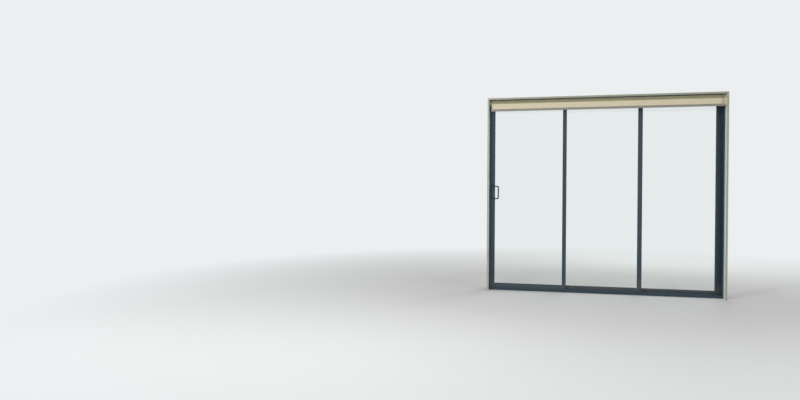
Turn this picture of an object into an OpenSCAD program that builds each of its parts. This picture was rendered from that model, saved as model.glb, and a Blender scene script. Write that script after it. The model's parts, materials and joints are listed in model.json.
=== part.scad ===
/* [Frame] */
// Overall width over the jambs and the side linings
frame_w = 2750; // [2300:10:3400]
// Overall height from the underside of the sill to the top of the head
frame_h = 2390; // [2000:10:2700]
// Wall thickness of the hollow frame extrusions
frame_wall = 2.4; // [1.8:0.1:2.8]
// Thickness of the outer flanges and of the fins between the tracks
fin_t = 3; // [2.4:0.1:3.6]
// Depth of the hollow box of each jamb
jamb_box = 23; // [20:1:32]
// Reach of the jamb flanges and fins past the box
jamb_fin = 12; // [10:1:20]
// Depth of the hollow box of the head
head_box = 15; // [12:1:24]
// Reach of the head flanges and fins below the box
head_fin = 33; // [28:1:40]
// Radius of the screw ports inside the extrusions
port_r = 3.6; // [3.2:0.1:3.9]
// Radius of the hole in each screw port
port_bore_r = 1.9; // [1.5:0.1:2.2]

/* [Tracks] */
// Clearance between pieces that slide past each other
run_gap = 5; // [5:0.5:7]
// Gap between the outermost panels and the frame's faces
side_gap = 6; // [5:0.5:9]
// Width of each track rib
rib_w = 4; // [3:0.5:5]
// Height of each track rib above its deck
rib_h = 14; // [12:0.5:15]
// Length of each head rib below the head's box
head_rib = 25; // [22:1:28]
// Room above a panel, by which it is lifted in
lift_room = 17; // [14:1:20]

/* [Sill] */
// Height of the leading panel's underside above the sill's underside
first_rail_z = 28; // [26:1:36]
// Drop from one deck of the stepped sill to the next, towards the weather
sill_step = 8; // [5:0.5:9]
// Height of the room-side upstand
sill_upstand = 32; // [28:1:38]
// Height of each inner fin above the deck on its room side
sill_fin = 13; // [10:1:16]
// Height of the weather-side lip above its deck
sill_lip = 8; // [6:1:12]
// Width of one weep slot
weep_w = 32; // [20:1:50]
// Height of one weep slot
weep_h = 4; // [3:0.5:5]
// Distance between weep slots
weep_pitch = 520; // [300:10:800]
// Length without weep slots at each end of the sill
weep_end = 200; // [100:10:400]

/* [Linings] */
// Thickness of the painted lining boards
lining_t = 19; // [15:1:23]
// Depth of the lining boards from the frame to the wall face
lining_depth = 88; // [78:1:140]
// Radius of the eased room-side edge of a lining
lining_ease = 2; // [1:0.5:4]
// Radius of the fixing holes through the side linings
fix_r = 2.75; // [2:0.25:3.5]
// Radius of the counterbore for a screw head
fix_head_r = 5.5; // [4.5:0.25:7]
// Depth of that counterbore
fix_head_depth = 4; // [2:0.5:6]
// Height of the lowest fixing hole
fix_low_z = 250; // [150:10:400]
// Distance between neighbouring fixing holes
fix_pitch = 620; // [400:10:640]

/* [Panels] */
// Thickness of each panel, stiles and rails alike
panel_t = 32; // [30:1:38]
// Face width of the stiles next to the jambs
jamb_stile_w = 58; // [50:1:75]
// Face width of the interlocking stiles, which stand one behind the other
interlock_w = 45; // [42:1:60]
// Face height of the bottom rails
bottom_rail_h = 56; // [54:1:90]
// Face height of the top rails
top_rail_h = 50; // [44:1:80]
// Wall thickness of the stiles and rails
skin = 2; // [1.6:0.1:2.2]
// Depth of the open channel under a bottom rail
bottom_channel = 34; // [34:0.5:36]
// Depth of the open channel in a top rail
top_channel = 20; // [18:0.5:24]
// Depth of the glazing pocket
pocket_depth = 12; // [11:0.5:14]
// Width of the glazing pocket
pocket_w = 14; // [12:0.5:16]
// Width of the flat lip on each side of the pocket
pocket_lip = 2; // [1.6:0.1:3]
// Height of the sloped shoulder beside the lip
shoulder_h = 8; // [5:0.5:10]
// Thickness of the laminated glass
glass_t = 6.4; // [5:0.1:8]
// Depth by which the glass enters its pocket
glass_bite = 9; // [7:0.5:10]
// Height of the glazing rubber past the lip
gasket_proud = 1.5; // [1:0.1:3]
// Thickness of the interlocking hooks
hook_t = 1.5; // [1.5:0.1:2]
// Length of the return lip of a hook
hook_lip = 10; // [7:0.5:11]
// Distance from the edge of the overlap to the first hook
hook_inset = 14; // [12:0.5:15]
// Length of the middle panel's stile that stays in front of the fixed panel's glass when open
park_middle = 20; // [16:1:60]
// Gap between the leading panel's lock stile and the middle panel when they are stacked
park_leading = 8; // [6:1:60]

/* [Rollers] */
// Radius of a roller wheel over its flanges
wheel_r = 11.5; // [10.5:0.25:11.5]
// Width of a roller wheel
wheel_w = 9; // [8:0.5:10]
// Depth of the groove in the wheel
groove_depth = 2; // [1.5:0.25:2.5]
// Gap between a wheel or a guide and its track
seat_gap = 0.3; // [0.2:0.1:0.5]
// Radius of a roller axle
axle_r = 2.5; // [2:0.25:3]
// Distance from the stile to the middle of the nearest roller
wheel_inset = 70; // [50:5:150]
// Length of a roller carriage
carriage_len = 64; // [56:2:90]
// Thickness of a carriage cheek
cheek_t = 3; // [2:0.25:3]
// Gap between a wheel and the cheeks
cheek_gap = 1; // [0.5:0.25:1.5]
// Height of a carriage cheek below the axle
cheek_foot = 3; // [2:0.25:4]
// Fit of an axle in the cheeks
axle_fit = 0.05; // [0.03:0.01:0.1]
// Length of a head guide or of a packer
guide_len = 60; // [40:2:90]
// Height of a guide block
guide_h = 16; // [13:1:17]
// Room between the head's rib and the bottom of a guide's slot
guide_room = 2; // [1:0.5:4]

/* [Handle and lock] */
// Height of the middle of the handle
handle_z = 1221; // [950:1:1300]
// Width of the inside plate
plate_w = 36; // [32:1:38]
// Height of the inside plate
plate_h = 206; // [190:1:230]
// Thickness of the inside plate
plate_t = 7; // [6:0.5:9]
// Radius of the plate's corners
plate_corner = 6; // [3:0.5:10]
// Width of the bevel round the plate
plate_bevel = 2; // [1:0.5:3]
// Thickness left at the plate's edge towards the pull
plate_edge = 1.5; // [1:0.25:2.5]
// Width of the sloped face along that edge
plate_slope = 12; // [9:0.5:13]
// Overall height of the pull
pull_h = 166; // [140:1:180]
// Distance sideways from the arm's foot to the bar
pull_side = 75; // [62:1:90]
// Angle between the arms and the stile's face
pull_turn = 24; // [18:1:30]
// Radius of the bar and arms
pull_r = 7.5; // [6:0.5:8]
// Radius of the bends between bar and arms
pull_bend = 10; // [9:0.5:22]
// Radius of the elbows between the plate and the arms
pull_elbow = 15; // [10:0.5:18]
// Distance of the thumb turn and the key cylinder from the handle's middle
lock_spread = 25; // [20:1:32]
// Radius of the key cylinder
cylinder_r = 8; // [6:0.5:9]
// Length of the key cylinder in front of the plate
cylinder_out = 9; // [5:0.5:12]
// Length of the thumb turn's grip
snib_len = 24; // [18:1:28]
// Width of the thumb turn's grip
snib_w = 5; // [4:0.5:8]
// Length of the thumb turn's neck in front of the plate
snib_neck = 3; // [2:0.5:5]
// Length of the thumb turn's grip in front of its neck
snib_out = 9; // [6:0.5:14]
// Width of the keyhole
key_w = 2; // [1.5:0.25:3]
// Height of the keyhole
key_h = 10; // [7:0.5:11]
// Depth of the keyhole
key_depth = 4; // [2:0.5:8]
// Width of the outside recess
cup_w = 26; // [22:1:30]
// Height of the outside recess
cup_h = 130; // [110:1:150]
// Radius of the outside recess's corners
cup_corner = 4; // [3:0.5:8]
// Depth of the outside recess
cup_depth = 14; // [10:0.5:18]
// Width of the outside recess's rim
cup_rim = 6; // [4:0.5:7]
// Thickness of the outside recess's shell and rim
cup_t = 2; // [1.5:0.1:2]
// Width of the lock's face plate
face_w = 16; // [14:0.5:20]
// Height of the lock's face plate
face_h = 150; // [130:1:170]
// Distance of the lock from the middle of the panel's thickness, towards the room
lock_offset = 5; // [4:0.5:6]
// Thickness of the lock's case
case_t = 13; // [11:0.5:13]
// Depth of the lock's case behind its face plate
case_depth = 34; // [30:1:38]
// Distance from the ends of the face plate to the case
case_inset = 10; // [6:1:16]
// Wall thickness at the back of the lock's case
case_back = 3; // [2:0.5:4]
// Thickness of the lock's hook
bolt_t = 3; // [2:0.5:4]
// Radius of the lock's hook
bolt_r = 9; // [7:0.5:10]
// Gap between the lock's hook and its slot
bolt_gap = 0.3; // [0.2:0.1:0.5]
// Gap between the lock's hook and the slot in its keeper
keeper_gap = 1; // [0.5:0.25:2]
// Height of the slot for the hook
bolt_slot_h = 44; // [40:1:60]

/* [Roller blind] */
// Radius of the rolled fabric
roll_r = 35; // [30:0.5:36]
// Radius of the aluminium tube
tube_r = 25; // [21:0.5:26]
// Wall thickness of the tube
tube_wall = 1.6; // [1.2:0.1:2.5]
// Gap between the roll and the head lining
roll_drop = 10; // [8:1:30]
// Gap between the roll and the wall face
roll_set_back = 8; // [7:1:20]
// Gap between the fabric and each side lining
fabric_gap = 29; // [26:1:45]
// Length of fabric that hangs below the middle of the roll
flap_drop = 73; // [45:1:160]
// Thickness of the hanging fabric as a solid
flap_t = 1.6; // [1:0.1:2.5]
// Height of the hem bar
hem_h = 28; // [20:1:40]
// Thickness of the hem bar
hem_t = 11; // [8:0.5:13]
// Depth of the slot in the hem bar that holds the fabric
hem_slot = 8; // [4:0.5:12]
// Length of the hem bar's end caps
hem_cap = 3; // [2:0.5:8]
// Height of an end cap's rim over the bar
hem_cap_rim = 0.8; // [0.4:0.1:1.5]
// Thickness of a bracket's steel
bracket_t = 2.5; // [2:0.1:4]
// Width of a bracket
bracket_w = 44; // [36:1:54]
// Length of a bracket's flange under the head lining
bracket_flange = 24; // [16:1:30]
// Radius of the round cover over a bracket, whose lip reaches round the drive head or the idler
cover_r = 32; // [27:0.5:34]
// Thickness of that cover in front of the steel
cover_t = 8; // [5:0.5:10]
// Width of the bevel round the cover
cover_bevel = 2; // [1:0.5:4]
// Gap between the cover's lip and the collar at the end of the tube
cover_gap = 1; // [0.5:0.5:3]
// Gap between the cover's lip and the drive head or the idler
lip_gap = 1.5; // [1:0.5:3]
// Radius of the drive head and of the idler
drive_r = 20; // [17:0.5:21]
// Length of the drive head and of the idler outside the tube
drive_len = 12; // [8:0.5:13]
// Length of the drive head and of the idler inside the tube
plug_len = 40; // [25:1:60]
// Gap between the ends of the tube and the drive head or the idler
tube_gap = 3; // [2:0.5:5]
// Height of the collar by which a plug stops the end of the tube
collar_out = 1; // [0.5:0.25:3]
// Fit between the tube and what turns in it or on it
tube_fit = 0.3; // [0.2:0.1:0.5]

/* [Hidden] */
$fn = 48;

LEADING = 0;
MIDDLE = 1;
FIXED = 2;
eps = 0.5;
panel_gap = 3 * run_gap + 2 * hook_t;
track_pitch = panel_t + panel_gap;
frame_depth = 3 * panel_t + 2 * panel_gap + 2 * (side_gap + fin_t);
half_depth = frame_depth / 2;
half_t = panel_t / 2;
jamb_face = frame_w / 2 - jamb_box;
head_floor = frame_h - head_box;
panel_top = head_floor - lift_room;
head_rib_z = head_floor - head_rib;
lining_clear = frame_w / 2 - lining_t;
wall_y = -half_depth - lining_depth;
edge_x = jamb_face - run_gap;
panel_w = (2 * edge_x + 2 * interlock_w) / 3;
travel = panel_w - interlock_w;
middle_travel = travel - park_middle;
leading_travel = travel - jamb_stile_w - park_leading;
shoulder_y = pocket_w / 2 + pocket_lip;
channel_w = panel_t - 2 * skin;
rib_in_rail = rib_h - run_gap;
hook_out = 2 * run_gap + 2 * hook_t;
hook_reach = hook_t + run_gap + hook_lip;
aluminium = "#3c4b55";
rubber = "#181a1c";
nylon = "#2b2b2b";
steel = "#b9bcc0";
paint = "#dfe3dd";
cream = "#cbc1a5";

function track_y(i) = (i - 1) * track_pitch;
function rail_z(i) = first_rail_z - i * sill_step;
function deck_z(i) = rail_z(i) - run_gap;
function panel_x1(i) = -edge_x + i * travel;
function panel_x2(i) = panel_x1(i) + panel_w;
function left_w(i) = i == LEADING ? jamb_stile_w : interlock_w;
function right_w(i) = i == FIXED ? jamb_stile_w : interlock_w;
function glass_x1(i) = panel_x1(i) + left_w(i);
function glass_x2(i) = panel_x2(i) - right_w(i);
function glass_z1(i) = rail_z(i) + bottom_rail_h;
glass_z2 = panel_top - top_rail_h;
fin_y = track_pitch / 2;
function fin_top(i) = deck_z(i) + sill_fin;
weep_count = floor((frame_w - 2 * weep_end) / weep_pitch);
lock_x = -jamb_face + jamb_fin + run_gap + plate_w / 2;
flat_x = lock_x - (plate_slope - plate_bevel) / 2;
cup_x = panel_x1(LEADING) + (jamb_stile_w - shoulder_h) / 2;
lock_y = track_y(LEADING) - lock_offset;
room_face = track_y(LEADING) - half_t;
weather_face = track_y(LEADING) + half_t;
roll_z = frame_h - lining_t - roll_drop - roll_r;
roll_y = wall_y + roll_set_back + roll_r;
fabric_x = lining_clear - fabric_gap;
hem_z = roll_z - flap_drop - hem_h;
hem_y = roll_y - roll_r + flap_t / 2;
bracket_h = roll_drop + roll_r + drive_r / 2;
bracket_x = fabric_x + tube_gap + drive_len;
elbow_run = 6;
wheel_ease = 0.5;
roll_facets = 96;

// Extrudes a cross-section drawn in Y and Z along X
module along_x(x1, x2) {
    translate([x1, 0, 0]) rotate([90, 0, 90]) linear_extrude(height = x2 - x1) children();
}

// Extrudes a cross-section drawn in X and Y along Z
module along_z(z1, z2) {
    translate([0, 0, z1]) linear_extrude(height = z2 - z1) children();
}

// Extrudes an outline drawn in X and Z along Y, from y1 towards the weather side
module along_y(y1, y2) {
    translate([0, y2, 0]) rotate([90, 0, 0]) linear_extrude(height = y2 - y1) children();
}

module strip(y1, y2, z1, z2) {
    translate([y1, z1]) square([y2 - y1, z2 - z1]);
}

module rounded_plate(w, h, r) {
    square([w - 2 * r, h], center = true);
    square([w, h - 2 * r], center = true);
    for (sx = [-1, 1], sz = [-1, 1]) translate([sx * (w / 2 - r), sz * (h / 2 - r)]) circle(r);
}

module screw_port(y, z) {
    translate([y, z]) circle(port_r);
}

module port_bore(y, z) {
    translate([y, z]) circle(port_bore_r);
}

// Sill: three stepped decks with a rib on each, fins between them and ports for the jamb screws
module sill_outline() {
    for (i = [LEADING : FIXED]) {
        y1 = i == LEADING ? -half_depth : (i - 1.5) * track_pitch - fin_t / 2;
        y2 = i == FIXED ? half_depth : (i - 0.5) * track_pitch + fin_t / 2;
        strip(y1, y2, 0, deck_z(i));
        strip(track_y(i) - rib_w / 2, track_y(i) + rib_w / 2, 0, deck_z(i) + rib_h - rib_w / 2);
        translate([track_y(i), deck_z(i) + rib_h - rib_w / 2]) circle(rib_w / 2);
    }
    strip(-half_depth, -half_depth + fin_t, 0, sill_upstand);
    for (i = [LEADING, MIDDLE]) {
        y = (i - 0.5) * track_pitch;
        strip(y - fin_t / 2, y + fin_t / 2, 0, fin_top(i));
    }
    strip(half_depth - fin_t, half_depth, 0, deck_z(FIXED) + sill_lip);
}

module sill_cells() {
    wall = frame_wall;
    for (side = [-1, 1]) {
        y_rib = track_y(LEADING);
        y1 = side < 0 ? -half_depth + fin_t : y_rib + wall / 2;
        y2 = side < 0 ? y_rib - wall / 2 : -fin_y - fin_t / 2;
        strip(y1, y2, wall, deck_z(LEADING) - wall);
        strip(side < 0 ? -fin_y + fin_t / 2 : wall / 2, side < 0 ? -wall / 2 : fin_y - fin_t / 2,
            wall, deck_z(MIDDLE) - wall);
    }
    strip(fin_y + fin_t / 2 + 2 * wall, half_depth - fin_t, -eps, deck_z(FIXED) - wall);
}

sill_port_y = (-half_depth + track_y(LEADING)) / 2;
module frame_sill() {
    color(aluminium) difference() {
        along_x(-jamb_face, jamb_face) {
            difference() {
                sill_outline();
                sill_cells();
            }
            difference() {
                union() {
                    screw_port(sill_port_y, frame_wall + port_r - eps);
                    screw_port(-fin_y / 2, frame_wall + port_r - eps);
                }
                port_bore(sill_port_y, frame_wall + port_r - eps);
                port_bore(-fin_y / 2, frame_wall + port_r - eps);
            }
        }
        for (k = [0 : weep_count - 1])
            translate([(k - (weep_count - 1) / 2) * weep_pitch - weep_w / 2, half_depth - fin_t - eps,
                deck_z(FIXED)])
                cube([weep_w, fin_t + 2 * eps, weep_h]);
    }
}

// Head: one box with two flanges, two fins and a guide rib over each panel
module head_outline() {
    strip(-half_depth, half_depth, head_floor, frame_h);
    for (y = [-half_depth, half_depth - fin_t]) strip(y, y + fin_t, head_floor - head_fin, frame_h);
    for (s = [-1, 1]) strip(s * fin_y - fin_t / 2, s * fin_y + fin_t / 2, head_floor - head_fin, frame_h);
    for (i = [LEADING : FIXED]) {
        strip(track_y(i) - rib_w / 2, track_y(i) + rib_w / 2, head_rib_z + rib_w / 2, frame_h);
        translate([track_y(i), head_rib_z + rib_w / 2]) circle(rib_w / 2);
    }
}

module head_cells() {
    for (i = [LEADING : FIXED], side = [-1, 1]) {
        rib_side = track_y(i) + side * frame_wall / 2;
        outer = i == LEADING && side < 0 ? -half_depth + fin_t
            : i == FIXED && side > 0 ? half_depth - fin_t
            : track_y(i) + side * (fin_y - fin_t / 2);
        strip(min(rib_side, outer), max(rib_side, outer), head_floor + frame_wall, frame_h - frame_wall);
    }
}

module frame_head() {
    port_z = frame_h - frame_wall - port_r + eps;
    color(aluminium) along_x(-jamb_face, jamb_face) {
        difference() {
            head_outline();
            head_cells();
        }
        for (s = [-1, 1]) difference() {
            screw_port(s * (track_pitch + fin_y / 2), port_z);
            port_bore(s * (track_pitch + fin_y / 2), port_z);
        }
    }
}

// Jamb: one box with two flanges and two fins, notched round the sill and the head
module jamb_outline() {
    reach = jamb_box + jamb_fin;
    translate([0, -half_depth]) square([jamb_box, frame_depth]);
    for (y = [-half_depth, half_depth - fin_t]) translate([0, y]) square([reach, fin_t]);
    for (s = [-1, 1]) translate([0, s * fin_y - fin_t / 2]) square([reach, fin_t]);
}

module jamb_cells() {
    cell = jamb_box - 2 * frame_wall;
    inner = fin_y - fin_t / 2;
    outer = half_depth - fin_t;
    translate([frame_wall, -inner]) square([cell, 2 * inner]);
    for (s = [0, 1]) mirror([0, s])
        translate([frame_wall, inner + fin_t]) square([cell, outer - inner - fin_t]);
}

module jamb() {
    difference() {
        along_z(0, frame_h) difference() {
            jamb_outline();
            jamb_cells();
        }
        translate([frame_w / 2, 0, 0]) along_x(-jamb_face, jamb_face) {
            sill_outline();
            head_outline();
        }
    }
}

module keeper_place(extra) {
    translate([-jamb_face - frame_wall, lock_y - face_w / 2, handle_z - face_h / 2])
        cube([frame_wall + extra, face_w, face_h]);
}

module jamb_left() {
    color(aluminium) difference() {
        translate([-frame_w / 2, 0, 0]) jamb();
        keeper_place(eps);
    }
}

module jamb_right() {
    color(aluminium) mirror([1, 0, 0]) translate([-frame_w / 2, 0, 0]) jamb();
}

module lock_keeper() {
    slot_w = bolt_t + 2 * keeper_gap;
    color(steel) difference() {
        keeper_place(0);
        translate([-jamb_face - frame_wall - eps, lock_y - slot_w / 2, handle_z - bolt_slot_h / 2])
            cube([frame_wall + 2 * eps, slot_w, bolt_slot_h]);
    }
}

// Painted boards from the frame to the wall face, with the room-side edge eased
module lining_section(t) {
    difference() {
        translate([0, wall_y]) square([t, lining_depth]);
        translate([t - lining_ease, wall_y - eps]) square([lining_ease + eps, lining_ease + eps]);
    }
    translate([t - lining_ease, wall_y + lining_ease]) circle(lining_ease);
}

module fixing_hole(z) {
    y = wall_y + lining_depth / 2;
    translate([-eps, y, z]) rotate([0, 90, 0]) cylinder(r = fix_r, h = lining_t + 2 * eps);
    translate([lining_t - fix_head_depth, y, z]) rotate([0, 90, 0])
        cylinder(r = fix_head_r, h = fix_head_depth + eps);
}

module side_lining() {
    color(paint) difference() {
        along_z(0, frame_h) lining_section(lining_t);
        for (k = [0 : 3]) fixing_hole(fix_low_z + k * fix_pitch);
    }
}

module lining_left() {
    translate([-frame_w / 2, 0, 0]) side_lining();
}

module lining_right() {
    mirror([1, 0, 0]) translate([-frame_w / 2, 0, 0]) side_lining();
}

module lining_head() {
    color(paint) along_x(-lining_clear, lining_clear)
        translate([0, frame_h]) rotate(-90) lining_section(lining_t);
}

// Outline of a stile or rail: u runs from its outer edge to the glass, v across its thickness
module member_outline(w) {
    polygon([[0, -half_t], [w - shoulder_h, -half_t], [w, -shoulder_y], [w, shoulder_y],
        [w - shoulder_h, half_t], [0, half_t]]);
}

module member_section(w, channel) {
    cell_start = channel > 0 ? channel + skin : skin;
    difference() {
        member_outline(w);
        if (channel > 0) translate([-eps, -channel_w / 2]) square([channel + eps, channel_w]);
        translate([cell_start, -channel_w / 2])
            square([w - pocket_depth - skin - cell_start, channel_w]);
        translate([w - pocket_depth, -pocket_w / 2]) square([pocket_depth + eps, pocket_w]);
    }
}

// The notches by which a stile rides over the ribs of the sill and the head
module rib_notches(i) {
    w = rib_w + 2 * run_gap;
    long = 2 * jamb_stile_w + 4 * eps;
    translate([-long / 2, -w / 2, rail_z(i) - eps]) cube([long, w, rib_in_rail + run_gap + eps]);
    translate([-long / 2, -w / 2, head_rib_z - run_gap])
        cube([long, w, panel_top - head_rib_z + run_gap + eps]);
}

// Places a stile drawn from u = 0 at the panel's left or right edge
module at_left(i) {
    translate([panel_x1(i), track_y(i), 0]) children();
}

module at_right(i) {
    translate([panel_x2(i), track_y(i), 0]) mirror([1, 0, 0]) children();
}

module stile(i, w) {
    difference() {
        along_z(rail_z(i), panel_top) member_section(w, 0);
        rib_notches(i);
    }
}

hook_z1 = fin_top(LEADING) + run_gap;
hook_z2 = head_floor - head_fin - run_gap;
hook_far = hook_inset + hook_reach;

// Hook on the weather side of a right stile; it opens towards the lock side
module hook_of_right_stile(i) {
    x = panel_x1(i + 1) + hook_far;
    color(aluminium) along_z(hook_z1, hook_z2) translate([x, track_y(i) + half_t]) {
        translate([0, -skin / 2]) square([hook_t, hook_out + skin / 2]);
        translate([-hook_lip, hook_out - hook_t]) square([hook_lip + eps, hook_t]);
    }
}

// Hook on the room side of a left stile; it opens away from the lock side
module hook_of_left_stile(i) {
    x = panel_x1(i) + hook_inset;
    color(aluminium) along_z(hook_z1, hook_z2) translate([x, track_y(i) - half_t]) {
        translate([0, -hook_out]) square([hook_t, hook_out + skin / 2]);
        translate([hook_t - eps, -hook_out]) square([hook_lip + eps, hook_t]);
    }
}

module jamb_stile_right() {
    color(aluminium) at_right(FIXED) stile(FIXED, jamb_stile_w);
}

module interlock_left(i) {
    color(aluminium) at_left(i) stile(i, interlock_w);
    hook_of_left_stile(i);
}

module interlock_right(i) {
    color(aluminium) at_right(i) stile(i, interlock_w);
    hook_of_right_stile(i);
}

// Rails run between the stiles, coped over their sloped shoulders
module coped_rail(i) {
    color(aluminium) difference() {
        along_x(glass_x1(i) - shoulder_h, glass_x2(i) + shoulder_h) translate([track_y(i), 0]) children();
        along_z(-eps, frame_h) {
            translate([panel_x1(i), track_y(i)]) member_outline(left_w(i));
            translate([panel_x2(i), track_y(i)]) mirror([1, 0]) member_outline(right_w(i));
        }
    }
}

module bottom_rail(i) {
    coped_rail(i) translate([0, rail_z(i)]) rotate(90) member_section(bottom_rail_h, bottom_channel);
}

module top_rail(i) {
    coped_rail(i) translate([0, panel_top]) rotate(-90) member_section(top_rail_h, top_channel);
}

module glass_box(i, grow, t) {
    translate([glass_x1(i) - grow, track_y(i) - t / 2, glass_z1(i) - grow])
        cube([glass_x2(i) - glass_x1(i) + 2 * grow, t, glass_z2 - glass_z1(i) + 2 * grow]);
}

module glass(i) {
    color("#9fb4b2", 0.4) glass_box(i, glass_bite, glass_t);
}

module gasket(i) {
    color(rubber) difference() {
        glass_box(i, pocket_depth, pocket_w);
        glass_box(i, -gasket_proud, pocket_w + eps);
        glass_box(i, glass_bite, glass_t);
    }
}

function wheel_x(i, side) = side < 0 ? glass_x1(i) + wheel_inset : glass_x2(i) - wheel_inset;
function wheel_z(i) = rail_z(i) + rib_in_rail + seat_gap + wheel_r - groove_depth;
wheel_half = wheel_w / 2;
groove_half = rib_w / 2 + seat_gap;

// Grooved wheels on their axles
module wheels(i) {
    cheek_y = wheel_half + cheek_gap;
    color(nylon) for (side = [-1, 1])
        translate([wheel_x(i, side), track_y(i), wheel_z(i)]) rotate([90, 0, 0]) {
            rotate_extrude() polygon([[0, -wheel_half], [wheel_r - wheel_ease, -wheel_half],
                [wheel_r, -wheel_half + wheel_ease], [wheel_r - groove_depth, -groove_half],
                [wheel_r - groove_depth, groove_half], [wheel_r, wheel_half - wheel_ease],
                [wheel_r - wheel_ease, wheel_half], [0, wheel_half]]);
            cylinder(r = axle_r, h = 2 * (cheek_y + cheek_t), center = true);
        }
}

module carriages(i) {
    cheek_y = wheel_half + cheek_gap;
    top = rail_z(i) + bottom_channel;
    bottom = wheel_z(i) - axle_r - cheek_foot;
    color(steel) for (side = [-1, 1]) difference() {
        union() {
            for (s = [0, 1]) translate([wheel_x(i, side) - carriage_len / 2, track_y(i), 0])
                mirror([0, s, 0]) translate([0, cheek_y, bottom])
                    cube([carriage_len, cheek_t, top - bottom]);
            translate([wheel_x(i, side) - carriage_len / 2, track_y(i) - cheek_y - cheek_t, top - skin])
                cube([carriage_len, 2 * (cheek_y + cheek_t), skin]);
        }
        translate([wheel_x(i, side), track_y(i), wheel_z(i)]) rotate([90, 0, 0])
            cylinder(r = axle_r + axle_fit, h = panel_t, center = true);
    }
}

// Blocks in the top rail's channel, slotted for the head's rib
module guides(i) {
    floor_z = panel_top - top_channel;
    slot_w = rib_w + 2 * seat_gap;
    color(nylon) for (side = [-1, 1]) difference() {
        translate([wheel_x(i, side) - guide_len / 2, track_y(i) - channel_w / 2, floor_z])
            cube([guide_len, channel_w, guide_h]);
        translate([wheel_x(i, side) - guide_len, track_y(i) - slot_w / 2, head_rib_z - guide_room])
            cube([2 * guide_len, slot_w, guide_h]);
    }
}

// The fixed panel stands on packers and is held at the head by the same blocks as the others
module fixed_packers() {
    i = FIXED;
    slot_w = rib_w + 2 * seat_gap;
    color(nylon) for (side = [-1, 1]) difference() {
        translate([wheel_x(i, side) - guide_len / 2, track_y(i) - half_t, deck_z(i)])
            cube([guide_len, panel_t, run_gap]);
        translate([wheel_x(i, side) - guide_len, track_y(i) - slot_w / 2, deck_z(i) - eps])
            cube([2 * guide_len, slot_w, run_gap + 2 * eps]);
    }
    guides(i);
}

module face_place(extra) {
    translate([panel_x1(LEADING) - extra, lock_y - face_w / 2, handle_z - face_h / 2])
        cube([skin + extra, face_w, face_h]);
}

module cup_place(depth) {
    translate([cup_x, 0, handle_z]) along_y(weather_face - depth, weather_face + eps)
        rounded_plate(cup_w, cup_h, cup_corner);
}

module leading_stile_lock() {
    color(aluminium) difference() {
        at_left(LEADING) stile(LEADING, jamb_stile_w);
        face_place(eps);
        cup_place(cup_depth);
    }
}

module bolt_slot() {
    grow = bolt_gap;
    translate([panel_x1(LEADING) - eps, lock_y - bolt_t / 2 - grow, handle_z - bolt_slot_h / 2])
        cube([skin + case_depth - case_back + eps, bolt_t + 2 * grow, bolt_slot_h]);
}

module lock_case() {
    color(steel) difference() {
        union() {
            face_place(0);
            translate([panel_x1(LEADING) + skin, lock_y - case_t / 2, handle_z - face_h / 2 + case_inset])
                cube([case_depth, case_t, face_h - 2 * case_inset]);
        }
        bolt_slot();
    }
}

// Hook bolt, drawn back into its case, with the throat that catches the keeper
module lock_hook() {
    throat = bolt_r / 2;
    color(steel) translate([panel_x1(LEADING) + skin + case_depth - case_back - bolt_r, lock_y, handle_z])
        rotate([90, 0, 0]) linear_extrude(height = bolt_t, center = true) difference() {
            circle(bolt_r);
            translate([-bolt_r - eps, throat / 2]) square([bolt_r, throat]);
        }
}

// Inside pull: one bar bent to a grip between two arms, whose elbows run into the plate
module bend(radius, angle) {
    rotate_extrude(angle = angle) translate([radius, 0]) circle(pull_r);
}

swing = 90 - pull_turn;
elbow_x = pull_elbow * (1 - cos(swing));
elbow_y = pull_elbow * sin(swing);
arm_z = pull_h / 2 - pull_r;
arm_len = (pull_side - elbow_x) / cos(pull_turn) - pull_bend;

// Drawn with the arms along X, from the inner ends of the elbows
module pull_bar() {
    for (s = [0, 1]) mirror([0, 0, s]) translate([0, 0, arm_z]) {
        translate([0, pull_elbow, 0]) mirror([1, 0, 0]) rotate([0, 0, -90])
            bend(pull_elbow, swing + elbow_run);
        rotate([0, 90, 0]) cylinder(r = pull_r, h = arm_len);
        translate([arm_len, 0, -pull_bend]) rotate([90, 0, 0]) bend(pull_bend, 90);
    }
    translate([arm_len + pull_bend, 0, pull_bend - arm_z])
        cylinder(r = pull_r, h = 2 * (arm_z - pull_bend));
}

// Plate under the pull, its back at y = 0: bevelled all round, and sloped on the side of the pull
module inside_plate() {
    rim = plate_t - plate_bevel;
    side = plate_w / 2;
    end = plate_h / 2;
    intersection() {
        along_y(-plate_t, 0) rounded_plate(plate_w, plate_h, plate_corner);
        along_z(-end, end) polygon([[-side, 0], [-side, -rim], [plate_bevel - side, -plate_t],
            [side - plate_slope, -plate_t], [side, -plate_edge], [side, 0]]);
        along_x(-side, side) polygon([[0, -end], [-rim, -end], [-plate_t, plate_bevel - end],
            [-plate_t, end - plate_bevel], [-rim, end], [0, end]]);
    }
}

module handle_inside() {
    color(aluminium) translate([lock_x, room_face, handle_z]) {
        difference() {
            inside_plate();
            for (s = [-1, 1]) translate([flat_x - lock_x, -plate_t - eps, s * lock_spread])
                rotate([-90, 0, 0]) cylinder(r = cylinder_r + bolt_gap, h = plate_t + 2 * eps);
        }
        translate([elbow_x, -plate_t - elbow_y, 0]) rotate([0, 0, -pull_turn]) pull_bar();
    }
}

module handle_outside() {
    color(aluminium) difference() {
        union() {
            cup_place(cup_depth - eps);
            translate([cup_x, 0, handle_z]) along_y(weather_face, weather_face + cup_t)
                rounded_plate(cup_w + 2 * cup_rim, cup_h + 2 * cup_rim, cup_corner + cup_rim);
        }
        translate([cup_x, 0, handle_z])
            along_y(weather_face - cup_depth + eps + cup_t, weather_face + cup_t + eps)
            rounded_plate(cup_w - 2 * cup_t, cup_h - 2 * cup_t, cup_corner - cup_t);
    }
}

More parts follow.
